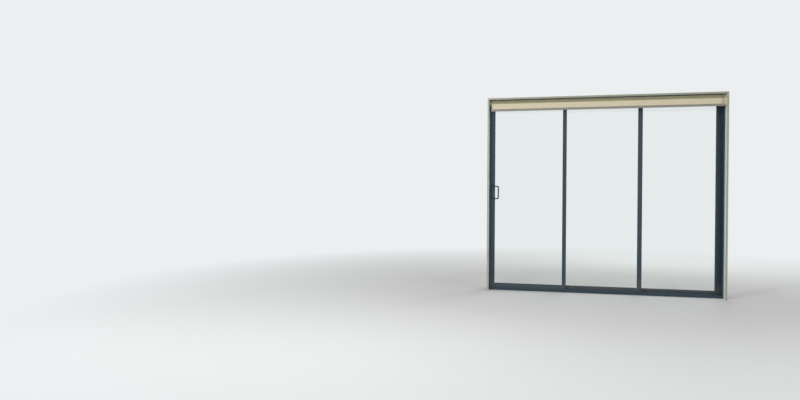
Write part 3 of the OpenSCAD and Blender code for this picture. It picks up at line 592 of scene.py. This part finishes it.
class CoatSettings(bpy.types.PropertyGroup):
    """Powder coat of the frame, the panels and the handle."""
    coat_colour: a_colour("Coat", "Colour of the frame and the panels", (0.0255, 0.049, 0.067))
    handle_colour: a_colour("Handle", "Colour of the pull and the lock's knobs", (0.020, 0.038, 0.050))
    # Painted highlight: colour of the lighter strip on the plate beside the key.
    plate_highlight_colour: a_colour("Rubbed coat", "Colour of the plate where hands rubbed it", (0.11, 0.25, 0.31))
    shine: a_share("Shine", "Strength of the coat's reflections", 0.5)
    gloss: a_share("Roughness", "Mean roughness of the coat", 0.42, 0.9)
    clouding: a_share("Clouding", "Share by which the coat's tone drifts", 0.08, 0.3)
    dust: a_share("Dust", "Most dust on ledges near the floor", 0.3)
    # Painted light: strength of the pale speckles on the low rails that stand in for light bounced off the
    # floor.
    splash: a_share("Splashes", "Most dried splashes on the low rails", 0.09)
    # Colour of the ledge dust, and of the painted light on the low rails.
    dust_and_painted_light_colour: a_colour("Dust colour", "Colour of the dust and sand on the sill", (0.30, 0.28, 0.24))
    bare_colour: a_colour("Bare metal", "Colour of the worn tops of the track ribs", (0.42, 0.43, 0.44))


class GlazingSettings(bpy.types.PropertyGroup):
    """Glass and glazing rubber."""
    glass_colour: a_colour("Glass", "Tint of the laminated glass", (0.94, 0.975, 0.96))
    haze: a_share("Haze", "Most roughness where salt has dried on the glass", 0.012, 0.2)
    rubber_colour: a_colour("Rubber", "Colour of the glazing rubber", (0.016, 0.017, 0.018))


class LiningSettings(bpy.types.PropertyGroup):
    """Painted timber boards round the opening."""
    # Painted light: the lit tone of the paint on the faces in the opening.
    lit_paint_colour: a_colour("Paint", "Colour of the semi-gloss paint", (0.87, 0.93, 0.895))
    # Painted shade: the front edges in the wall's shaded tone.
    shaded_edge_colour: a_colour("Front edge", "Colour of the edges painted with the wall", (0.33, 0.345, 0.265))
    # Painted light lapping over the left board's front edge.
    lit_lap: a_length("Lap", "How far the lighter paint laps over the left board's front edge", 0.008, 0.0, 0.015)
    pine_dark: a_colour("Dark grain", "Dark rings of the bare pine", (0.42, 0.27, 0.13))
    pine_light: a_colour("Light grain", "Light wood between the rings", (0.66, 0.50, 0.30))
    cap_radius: a_length("Cap radius", "Radius of a cap over a fixing screw", 0.0053, 0.003, 0.009)
    cap_height: a_length("Cap height", "Height of a cap over a fixing screw", 0.0042, 0.001, 0.006)


class HardwareSettings(bpy.types.PropertyGroup):
    """Rollers, guides, lock, screws and brush seals."""
    nylon_colour: a_colour("Nylon", "Colour of wheels, guides and packers", (0.035, 0.036, 0.038))
    steel_colour: a_colour("Steel", "Colour of the lock, the carriages and the screws", (0.56, 0.57, 0.58))
    screw_radius: a_length("Screw radius", "Radius of a pan head", 0.004, 0.002, 0.006)
    screw_height: a_length("Screw height", "Height of a pan head", 0.0018, 0.0005, 0.002)
    screw_count: IntProperty(
        name="Screws", description="Screws in each channel of a jamb and in each track of the head",
        default=4, min=2, max=8)
    pile_colour: a_colour("Pile", "Colour of the brush seals", (0.03, 0.03, 0.032))
    pile_spacing: a_length("Tuft spacing", "Distance between tufts of a brush seal", 0.004, 0.002, 0.01)
    pile_width: a_length("Tuft width", "Width of a tuft at its root", 0.0045, 0.002, 0.006)
    pile_reach: a_length("Tuft clearance", "Gap between the tufts and the panel", 0.001, 0.0003, 0.003)


class BlindSettings(bpy.types.PropertyGroup):
    """Roller blind at the head."""
    cloth_colour: a_colour("Cloth", "Colour of the blind's cloth", (0.735, 0.66, 0.48))
    cloth_thickness: a_length("Cloth thickness", "Thickness of the cloth", 0.0005, 0.0002, 0.001)
    layer_pitch: a_length("Layer pitch", "Distance between the layers of the roll", 0.00068, 0.0003, 0.0015)
    thread: a_length("Thread", "Distance over which the weave repeats", 0.0012, 0.0003, 0.003)
    translucency: a_share("Translucency", "Share of the light that the cloth lets through", 0.08, 0.8)
    # Painted shade: how much the top of the roll is darkened, partly for dust and partly standing in for the
    # shade on its upper half.
    roll_top_shade_and_dust: a_share("Settled dust", "Most dust on the top of the roll", 0.95)
    # Where that painted shade ends under the roll's middle.
    shade_line_drop: a_length("Dust line", "How far under the roll's middle the dust ends", 0.008, -0.03, 0.05)
    # Colour of that painted shade and dust on the roll.
    dust_and_painted_light_colour: a_colour("Dust colour", "Colour of the dust on the top of the roll", (0.236, 0.222, 0.124))
    bar_colour: a_colour("Hem bar", "Colour of the bar in the cloth's hem", (0.262, 0.252, 0.218))
    fitting_colour: a_colour("Fittings", "Colour of bracket and cover at the idler", (0.53, 0.485, 0.33))
    drive_colour: a_colour("Drive", "Colour of bracket, cover and head at the drive", (0.17, 0.16, 0.12))
    tube_colour: a_colour("Tube", "Colour of the mill finish tube", (0.72, 0.73, 0.74))


class StageSettings(bpy.types.PropertyGroup):
    """Floor, light and camera."""
    floor_colour: a_colour("Floor", "Colour of the floor near the door", (0.82, 0.82, 0.815))
    backdrop_colour: a_colour("Backdrop", "Colour behind the door and of the far floor", (0.84, 0.86, 0.87))
    ambient: a_share("Ambient", "Strength of the light from all round", 0.74, 2.0)
    ambient_above: a_share("Ambient above", "Strength of the light from above", 0.25, 2.0)
    front_power: a_power("Front lamps", "Power of the first lamp on the room side", 73.0)
    back_power: a_power("Back lamp", "Power of the lamp on the weather side", 120.0)
    camera_place: FloatVectorProperty(
        name="Camera", description="Place of the camera", default=(-0.5821, -8.1796, 1.2093),
        subtype="TRANSLATION", unit="LENGTH", size=3)
    camera_yaw: an_angle("Yaw", "Turn of the camera to the left", 13.385)
    camera_pitch: an_angle("Pitch", "Turn of the camera upwards", -0.628)
    camera_roll: an_angle("Roll", "Tilt of the camera", 0.278)
    lens: FloatProperty(
        name="Lens", description="Focal length in millimetres on a 36 mm sensor", default=28.86,
        unit="CAMERA", min=10.0, max=200.0)


# Operators, one for each group of pieces

class DOORSET_OT_coat_frame(bpy.types.Operator):
    """Powder-coat the frame, the panels and the handle"""
    bl_idname = "doorset.coat_frame"
    bl_label = "Coat the frame"

    def execute(self, context):
        look = context.scene.door_coat
        satin = powder_coat("frame_coat_satin", look.coat_colour, look, worn_ribs, look.bare_colour, True)
        dress(nodes_of("frame_coat"), satin)
        # The handle coat carries a painted highlight on its plate, in the highlight colour.
        rubbed = powder_coat("handle_coat_satin", look.handle_colour, look, painted_plate_highlight, look.plate_highlight_colour)
        dress(nodes_of("handle_coat"), rubbed)
        return {"FINISHED"}


class DOORSET_OT_glaze_panels(bpy.types.Operator):
    """Finish the glass and the glazing rubber"""
    bl_idname = "doorset.glaze_panels"
    bl_label = "Glaze the panels"

    def execute(self, context):
        look = context.scene.door_glazing
        dress(nodes_of("glass"), clear_glass("laminated_glass", look))
        dress(nodes_of("glazing_rubber"), extruded_rubber("glazing_rubber_black", look))
        return {"FINISHED"}


class DOORSET_OT_paint_lining(bpy.types.Operator):
    """Paint the lining boards and cap their fixing screws"""
    bl_idname = "doorset.paint_lining"
    bl_label = "Paint the lining"

    grain_upright = (45.0, 45.0, 2.2)
    grain_level = (2.2, 45.0, 45.0)

    def execute(self, context):
        look = context.scene.door_lining
        dress(["lining_left"], painted_board("lining_paint_left", look, self.grain_upright, look.lit_lap))
        right = painted_board("lining_paint_right", look, self.grain_upright)
        dress(["lining_right"], right)
        dress(["lining_head"], painted_board("lining_paint_level", look, self.grain_level))
        places = []
        for mount in frame["record"]["mounts"]:
            if mount["kind"] == "bolt_pattern":
                places += self.cap_places(mount, look)
        fasten("lining_caps", "frame", "painted_lining", cap_tree(), places, look.cap_radius,
               look.cap_height, right)
        return {"FINISHED"}

    @staticmethod
    def cap_places(mount, look):
        """Caps near the bottoms of a bolt pattern's two counterbores, facing into the opening."""
        x, y, z = mount["pos_m"]
        proud = 0.3 * MM
        foot = math.copysign(opening_x() + look.cap_height - proud, x)
        half = mount["dims"]["spacing_y_mm"] * MM / 2
        return [((foot, y, z + way * half), LEFT if x > 0 else RIGHT) for way in (-1, 1)]


class DOORSET_OT_finish_hardware(bpy.types.Operator):
    """Finish rollers, guides and lock"""
    bl_idname = "doorset.finish_hardware"
    bl_label = "Finish the hardware"

    def execute(self, context):
        look = context.scene.door_hardware
        dress(nodes_of("nylon"), moulded_nylon("nylon_black", look))
        steel = brushed_metal("lock_steel_brushed", look.steel_colour, 0.32, (900.0, 900.0, 12.0))
        dress(nodes_of("lock_steel"), steel)
        return {"FINISHED"}


class DOORSET_OT_drive_screws(bpy.types.Operator):
    """Drive the screws of frame, lock and blind, and plug those of the panels"""
    bl_idname = "doorset.drive_screws"
    bl_label = "Drive the screws"

    def execute(self, context):
        look = context.scene.door_hardware
        heads = screw_head_tree()
        steel = brushed_metal("screw_steel", look.steel_colour, 0.3, (700.0, 700.0, 700.0))
        size = (look.screw_radius, look.screw_height)
        small = (0.8 * look.screw_radius, 0.6 * look.screw_height)
        frame_places = self.jamb_places(look) + self.head_places(look) + self.keeper_places()
        fasten("frame_screws", "frame", "lock_steel", heads, frame_places, *size, steel)
        fasten("blind_screws", "frame", "blind_fittings", heads, self.bracket_places(), *size, steel)
        fasten("handle_screws", "leading_panel", "lock_steel", heads, self.handle_places(), *small, steel)
        caps = cap_tree()
        plug = moulded_nylon("plug_nylon", look)
        for panel in PANELS:
            body = "frame" if panel == "fixed" else panel + "_panel"
            fasten(panel + "_plugs", body, "nylon", caps, self.plug_places(panel), look.screw_radius,
                   0.5 * look.screw_height, plug)
        return {"FINISHED"}

    @staticmethod
    def spread(low, high, count):
        """Even steps from low to high."""
        return [low + (high - low) * step / (count - 1) for step in range(count)]

    def jamb_places(self, look):
        """Screws through each jamb, in the channels of the room and the weather side."""
        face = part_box("frame_head")[1].x
        from_end = 0.3
        channels = (centre("leading_glass").y, centre("fixed_glass").y)
        return [((x, y, z), facing)
                for x, facing in ((-face, RIGHT), (face, LEFT)) for y in channels
                for z in self.spread(from_end, CAD_HIGH.z - from_end, look.screw_count)]

    def head_places(self, look):
        """Screws up through the head, beside its ribs."""
        underside = CAD_HIGH.z - HEAD_BOX_HEIGHT
        beside_rib, last_x = 12 * MM, 1.15
        return [((x, centre(panel + "_glass").y + beside_rib, underside), DOWN)
                for panel in PANELS for x in self.spread(-last_x, last_x, look.screw_count)]

    @staticmethod
    def keeper_places():
        """Screws near the ends of the lock's keeper."""
        low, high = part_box("lock_keeper")
        from_end = 9 * MM
        return [((high.x, centre("lock_keeper").y, z), RIGHT) for z in (low.z + from_end, high.z - from_end)]

    @staticmethod
    def bracket_places():
        """Screws up through the flanges of the blind's brackets."""
        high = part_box("blind_brackets")[1]
        from_end, off_middle = 9 * MM, 14 * MM
        x, y = high.x - from_end, centre("blind_brackets").y
        return [((side * x, y + way * off_middle, high.z - BRACKET_THICKNESS), DOWN)
                for side in (-1.0, 1.0) for way in (-1.0, 1.0)]

    @staticmethod
    def handle_places():
        """Screws of the inside plate, the outside recess and the lock's face plate."""
        on_plate, on_recess, on_face_plate = 93 * MM, 67.5 * MM, 68 * MM
        plate_x = centre("lock_cylinder").x
        recess_x, _recess_y, middle = centre("handle_outside")
        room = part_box("leading_rail_top")[0].y - PLATE_THICKNESS
        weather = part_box("handle_outside")[1].y
        edge, lock_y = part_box("lock_case")[0].x, centre("lock_case").y
        places = []
        for way in (-1.0, 1.0):
            places.append(((plate_x, room, middle + way * on_plate), TO_ROOM))
            places.append(((recess_x, weather, middle + way * on_recess), TO_WEATHER))
            places.append(((edge, lock_y, middle + way * on_face_plate), LEFT))
        return places

    @staticmethod
    def plug_places(panel):
        """Plugs over the screws that hold the rails, on the outer edges of both stiles."""
        low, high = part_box(panel + ("_stile_lock" if panel == "leading" else "_stile_left"))
        right_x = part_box(panel + "_stile_right")[1].x
        middle = centre(panel + "_glass").y
        over_foot, under_top, off_middle = 39 * MM, 29 * MM, 9 * MM
        return [((x, middle + way * off_middle, z), facing)
                for x, facing in ((low.x, LEFT), (right_x, RIGHT))
                for z in (low.z + over_foot, high.z - under_top) for way in (-1.0, 1.0)]


class DOORSET_OT_fit_seals(bpy.types.Operator):
    """Fit brush seals along the jambs and the head"""
    bl_idname = "doorset.fit_seals"
    bl_label = "Fit the seals"

    def execute(self, context):
        look = context.scene.door_hardware
        ends, edges, directions = [], [], []
        for start, stop, facing in self.lines():
            edges.append((len(ends), len(ends) + 1))
            ends += [start, stop]
            directions += [facing, facing]
        seals = new_piece("frame_seals", ends, [], edges)
        set_facing(seals, directions)
        grow(seals, pile_tree(), {"Spacing": look.pile_spacing, "Length": self.gap() - look.pile_reach,
                                  "Width": look.pile_width, "Material": pile_fibre("pile_fibre_black", look)})
        finish_piece(seals, "frame")
        return {"FINISHED"}

    @staticmethod
    def gap():
        """Distance between a panel's face and the flange beside it."""
        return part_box("leading_rail_top")[0].y - (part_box("frame_head")[0].y + FLANGE_THICKNESS)

    @staticmethod
    def lines():
        """Lines on the outer flanges of jambs and head, each facing the nearest panel."""
        low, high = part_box("frame_head")
        on_jamb, under_box, over_sill = 6 * MM, 27 * MM, 60 * MM
        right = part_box("jamb_right")[0].x + on_jamb
        top = high.z - HEAD_BOX_HEIGHT - under_box
        lines = []
        for y, facing in ((low.y + FLANGE_THICKNESS, TO_WEATHER), (high.y - FLANGE_THICKNESS, TO_ROOM)):
            lines.append(((-right, y, top), (right, y, top), facing))
            for x in (-right, right):
                lines.append(((x, y, over_sill), (x, y, top), facing))
        return lines


class DOORSET_OT_hang_blind(bpy.types.Operator):
    """Roll the cloth on its tube, hang its end to the hem bar, and finish the fittings"""
    bl_idname = "doorset.hang_blind"
    bl_label = "Hang the blind"

    points_a_turn = 32
    strips_across = 48
    drop_rows = 10

    def execute(self, context):
        look = context.scene.door_blind
        dress(nodes_of("hem_bar"), satin_plastic("hem_bar_paint", look.bar_colour, 0.45, look))
        fittings = satin_plastic("blind_fittings_satin", look.fitting_colour, 0.4, look, look.drive_colour)
        dress(nodes_of("blind_fittings"), fittings)
        self.clip_cover(fittings)
        drawn = brushed_metal("mill_aluminium_drawn", look.tube_colour, 0.38, (6.0, 500.0, 500.0))
        dress(nodes_of("mill_aluminium"), drawn)

        low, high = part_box("blind_fabric")
        cloth, length = self.weave(self.cloth_line(look), low.x, high.x)
        cloth.data.shade_smooth()
        thickness = cloth.modifiers.new("thickness", "SOLIDIFY")
        thickness.thickness = look.cloth_thickness
        thickness.offset = 0.0
        finish_piece(cloth, "frame", woven_cloth("blind_cloth_woven", look))
        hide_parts("blind_fabric")
        return {"FINISHED"}

    @staticmethod
    def clip_cover(material):
        """The clip-on cover at the idler's end: a quarter round, then straight down.

        It starts over the cloth's end, and its lower part past the end of the hem bar."""
        wall, gap, steps = 1.6 * MM, 0.5 * MM, 10
        over_cloth, under_flange, past_bar_top = 1.5 * MM, 8 * MM, 12 * MM
        cloth_low, cloth_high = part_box("blind_fabric")
        bar_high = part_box("blind_hem_bar")[1]
        middle = centre("blind_tube")
        sides = (cloth_high.x - over_cloth, bar_high.x + gap, opening_x() - gap)
        front = middle.y - cloth_low.y + wall + gap
        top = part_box("blind_brackets")[1].z - under_flange - middle.z

        outside, inside = [], []
        for line, inset in ((outside, 0.0), (inside, wall)):
            for step in range(steps + 1):
                turn = math.pi / 2 * step / steps
                line.append((middle.y - (front - inset) * math.sin(turn),
                             middle.z + (top - inset) * math.cos(turn)))
            y = middle.y - (front - inset)
            line += [(y, bar_high.z + gap), (y, bar_high.z - past_bar_top)]
        profile = outside + inside[::-1]
        count = len(profile)
        feet = (count // 2 - 1, count // 2)
        upper = [i for i in range(count) if i not in feet]
        step_face = (feet[0] - 1, *feet, feet[1] + 1)

        corners = [(x, y, z) for x in sides for y, z in profile]
        faces = [tuple(upper), tuple(range(2 * count, 3 * count)), tuple(i + count for i in step_face)]
        for first, ring in ((0, upper), (count, list(range(count)))):
            for i, j in zip(ring, ring[1:] + ring[:1]):
                faces.append((i + first, j + first, j + first + count, i + first + count))
        cover = new_piece("blind_end_cover", corners, faces)
        shell = bmesh.new()
        shell.from_mesh(cover.data)
        loose = [point for point in shell.verts if not point.link_faces]
        bmesh.ops.delete(shell, geom=loose, context="VERTS")
        bmesh.ops.recalc_face_normals(shell, faces=shell.faces)
        shell.to_mesh(cover.data)
        shell.free()
        rounding = cover.modifiers.new("rounding", "BEVEL")
        rounding.width = 0.5 * MM
        rounding.segments = 2
        finish_piece(cover, "frame", material)

    def cloth_line(self, look):
        """The cloth's section from the tube outwards, round the roll and down to the hem bar."""
        tube_low, tube_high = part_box("blind_tube")
        cloth_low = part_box("blind_fabric")[0]
        middle = centre("blind_tube")
        inner = (tube_high.z - tube_low.z) / 2 + look.layer_pitch / 2
        outer = middle.y - cloth_low.y - look.cloth_thickness / 2
        steps = math.ceil((outer - inner) / look.layer_pitch * self.points_a_turn)
        line = []
        for step in range(steps + 1):
            back = (steps - step) / self.points_a_turn
            radius = outer - look.layer_pitch * back
            angle = math.pi - 2 * math.pi * back
            line.append((middle.y + radius * math.cos(angle), middle.z + radius * math.sin(angle)))
        for row in range(1, self.drop_rows + 1):
            line.append((middle.y - outer, middle.z + (cloth_low.z - middle.z) * row / self.drop_rows))
        return line

    def weave(self, line, left, right):
        """The cloth as a grid, with its own map in metres; the length that was cut comes back with it."""
        lengths = [0.0]
        for (y1, z1), (y2, z2) in zip(line, line[1:]):
            lengths.append(lengths[-1] + math.hypot(y2 - y1, z2 - z1))
        stray_size, belly_size, ripple_size = 0.7 * MM, 1.2 * MM, 0.5 * MM
        across = self.strips_across
        vertices, flat = [], []
        rolled = len(line) - self.drop_rows - 1
        for row, (y, z) in enumerate(line):
            hung = max(0.0, (row - rolled) / self.drop_rows)
            stray = stray_size * math.sin(row / self.points_a_turn * 1.9)
            for column in range(across + 1):
                share = column / across
                x = left + (right - left) * share + (stray - abs(stray)) * (2 * share - 1)
                belly = belly_size * math.sin(math.pi * hung) * math.sin(x * 9.3 + 0.8)
                belly += ripple_size * hung * (1 - hung) * math.sin(x * 21.0)
                vertices.append((x, y + belly, z))
                flat.append((x, lengths[row]))
        faces = []
        for row in range(len(line) - 1):
            for column in range(across):
                first = row * (across + 1) + column
                faces.append((first, first + 1, first + across + 2, first + across + 1))
        cloth = new_piece("blind_cloth", vertices, faces)
        layer = cloth.data.uv_layers.new(name="cloth")
        for loop in cloth.data.loops:
            layer.data[loop.index].uv = flat[loop.vertex_index]
        return cloth, lengths[-1]


class DOORSET_OT_set_stage(bpy.types.Operator):
    """Lay the floor, hang the lamps and set up the camera"""
    bl_idname = "doorset.set_stage"
    bl_label = "Set the stage"

    def execute(self, context):
        look = context.scene.door_stage
        self.lay_floor(look)
        self.light_world(context.scene, look)
        self.hang_lamps(look)
        self.place_camera(context.scene, look)
        context.scene.view_settings.view_transform = "Standard"
        return {"FINISHED"}

    @staticmethod
    def seen(tree):
        """1 for rays from the camera, and for those mirrored or let through."""
        path = tree.nodes.new("ShaderNodeLightPath").outputs
        first = maths(tree, "MAXIMUM", path["Is Camera Ray"], path["Is Glossy Ray"])
        return maths(tree, "MAXIMUM", first, path["Is Transmission Ray"])

    def lay_floor(self, look):
        """A pale floor that takes the door's shadow and fades into the backdrop."""
        half, drop, fade_from, fade_to = 60.0, 0.5 * MM, 2.0, 6.5
        corners = [(x * half, y * half, -drop) for x, y in ((-1, -1), (1, -1), (1, 1), (-1, 1))]
        floor = new_piece("floor", corners, [(0, 1, 2, 3)])
        material, tree, shader, place = start_material("floor_pale", {
            "Base Color": shade(look.floor_colour), "Roughness": 0.9})
        distance = add(tree, "ShaderNodeVectorMath", {0: place}, operation="LENGTH").outputs["Value"]
        share = times(tree, ramp(tree, distance, fade_from, fade_to), self.seen(tree))
        glow = add(tree, "ShaderNodeEmission", {"Color": shade(look.backdrop_colour)})
        show_mix(tree, share, shader, glow)
        floor.data.materials.append(material)

    def light_world(self, scene, look):
        """Even light from all round, and the pale backdrop where the world is seen."""
        world = bpy.data.worlds.new("studio")
        world.use_nodes = True
        scene.world = world
        tree = world.node_tree
        even = tree.nodes["Background"]
        even.inputs["Color"].default_value = (1.0, 1.0, 1.0, 1.0)
        upward = axes(tree, tree.nodes.new("ShaderNodeTexCoord").outputs["Generated"])[2]
        feed(tree, even.inputs["Strength"], ramp(tree, upward, 0.1, 0.8, look.ambient, look.ambient_above))
        shown = add(tree, "ShaderNodeBackground", {"Color": shade(look.backdrop_colour)})
        show_mix(tree, self.seen(tree), even, shown, "World Output")

    @staticmethod
    def hang_lamps(look):
        """Three soft lamps on the room side and a broad one on the weather side."""
        target, height = Vector((0.0, 0.0, 1.1)), 2.4
        lamps = (("lamp_left", (-2.5, -4.6, 3.2), 1.2, look.front_power),
                 ("lamp_right", (3.4, -4.8, 2.8), 1.2, 0.6 * look.front_power),
                 ("lamp_side", (-4.8, -5.0, 1.4), 3.0, 0.9 * look.front_power),
                 ("lamp_back", (1.5, 5.5, 3.2), 3.0, look.back_power))
        for name, place, width, power in lamps:
            light = bpy.data.lights.new(name, "AREA")
            light.shape = "RECTANGLE"
            light.size = width
            light.size_y = height
            light.energy = power
            lamp = bpy.data.objects.new(name, light)
            lamp.visible_camera = False
            lamp.visible_transmission = False
            lamp.visible_glossy = False
            lamp.location = place
            lamp.rotation_euler = (target - Vector(place)).to_track_quat("-Z", "Y").to_euler()
            bpy.context.scene.collection.objects.link(lamp)

    @staticmethod
    def place_camera(scene, look):
        """The photograph's own viewpoint and framing."""
        eye = bpy.data.cameras.new("camera")
        eye.sensor_width = 36.0
        eye.lens = look.lens
        eye.clip_end = 200.0
        camera = bpy.data.objects.new("camera", eye)
        turn = Matrix.Rotation(look.camera_yaw, 4, "Z")
        turn = turn @ Matrix.Rotation(math.pi / 2 + look.camera_pitch, 4, "X")
        turn = turn @ Matrix.Rotation(look.camera_roll, 4, "Z")
        camera.matrix_world = Matrix.Translation(look.camera_place) @ turn
        scene.collection.objects.link(camera)
        scene.camera = camera


SETTINGS = {"door_coat": CoatSettings, "door_glazing": GlazingSettings, "door_lining": LiningSettings,
            "door_hardware": HardwareSettings, "door_blind": BlindSettings, "door_stage": StageSettings}
OPERATORS = (DOORSET_OT_coat_frame, DOORSET_OT_glaze_panels, DOORSET_OT_paint_lining,
             DOORSET_OT_finish_hardware, DOORSET_OT_drive_screws, DOORSET_OT_fit_seals,
             DOORSET_OT_hang_blind, DOORSET_OT_set_stage)


class DOORSET_PT_sidebar(bpy.types.Panel):
    """Settings and steps of the door set"""
    bl_label = "Door set"
    bl_space_type = "VIEW_3D"
    bl_region_type = "UI"
    bl_category = "Door set"

    def draw(self, context):
        for operator in OPERATORS:
            self.layout.operator(operator.bl_idname)
        for holder, group in SETTINGS.items():
            box = self.layout.box()
            for name in group.__annotations__:
                box.prop(getattr(context.scene, holder), name)


def register():
    """Registers the settings, the operators and the panel."""
    for group in SETTINGS.values():
        bpy.utils.register_class(group)
    for holder, group in SETTINGS.items():
        setattr(bpy.types.Scene, holder, PointerProperty(type=group))
    for thing in (*OPERATORS, DOORSET_PT_sidebar):
        bpy.utils.register_class(thing)


def unregister():
    """Takes them away again."""
    for thing in (DOORSET_PT_sidebar, *reversed(OPERATORS)):
        bpy.utils.unregister_class(thing)
    for holder in SETTINGS:
        delattr(bpy.types.Scene, holder)
    for group in SETTINGS.values():
        bpy.utils.unregister_class(group)


def main():
    """Runs every step in order."""
    register()
    bpy.ops.doorset.coat_frame()
    bpy.ops.doorset.glaze_panels()
    bpy.ops.doorset.paint_lining()
    bpy.ops.doorset.finish_hardware()
    bpy.ops.doorset.drive_screws()
    bpy.ops.doorset.fit_seals()
    bpy.ops.doorset.hang_blind()
    bpy.ops.doorset.set_stage()


if __name__ == "__main__":
    main()
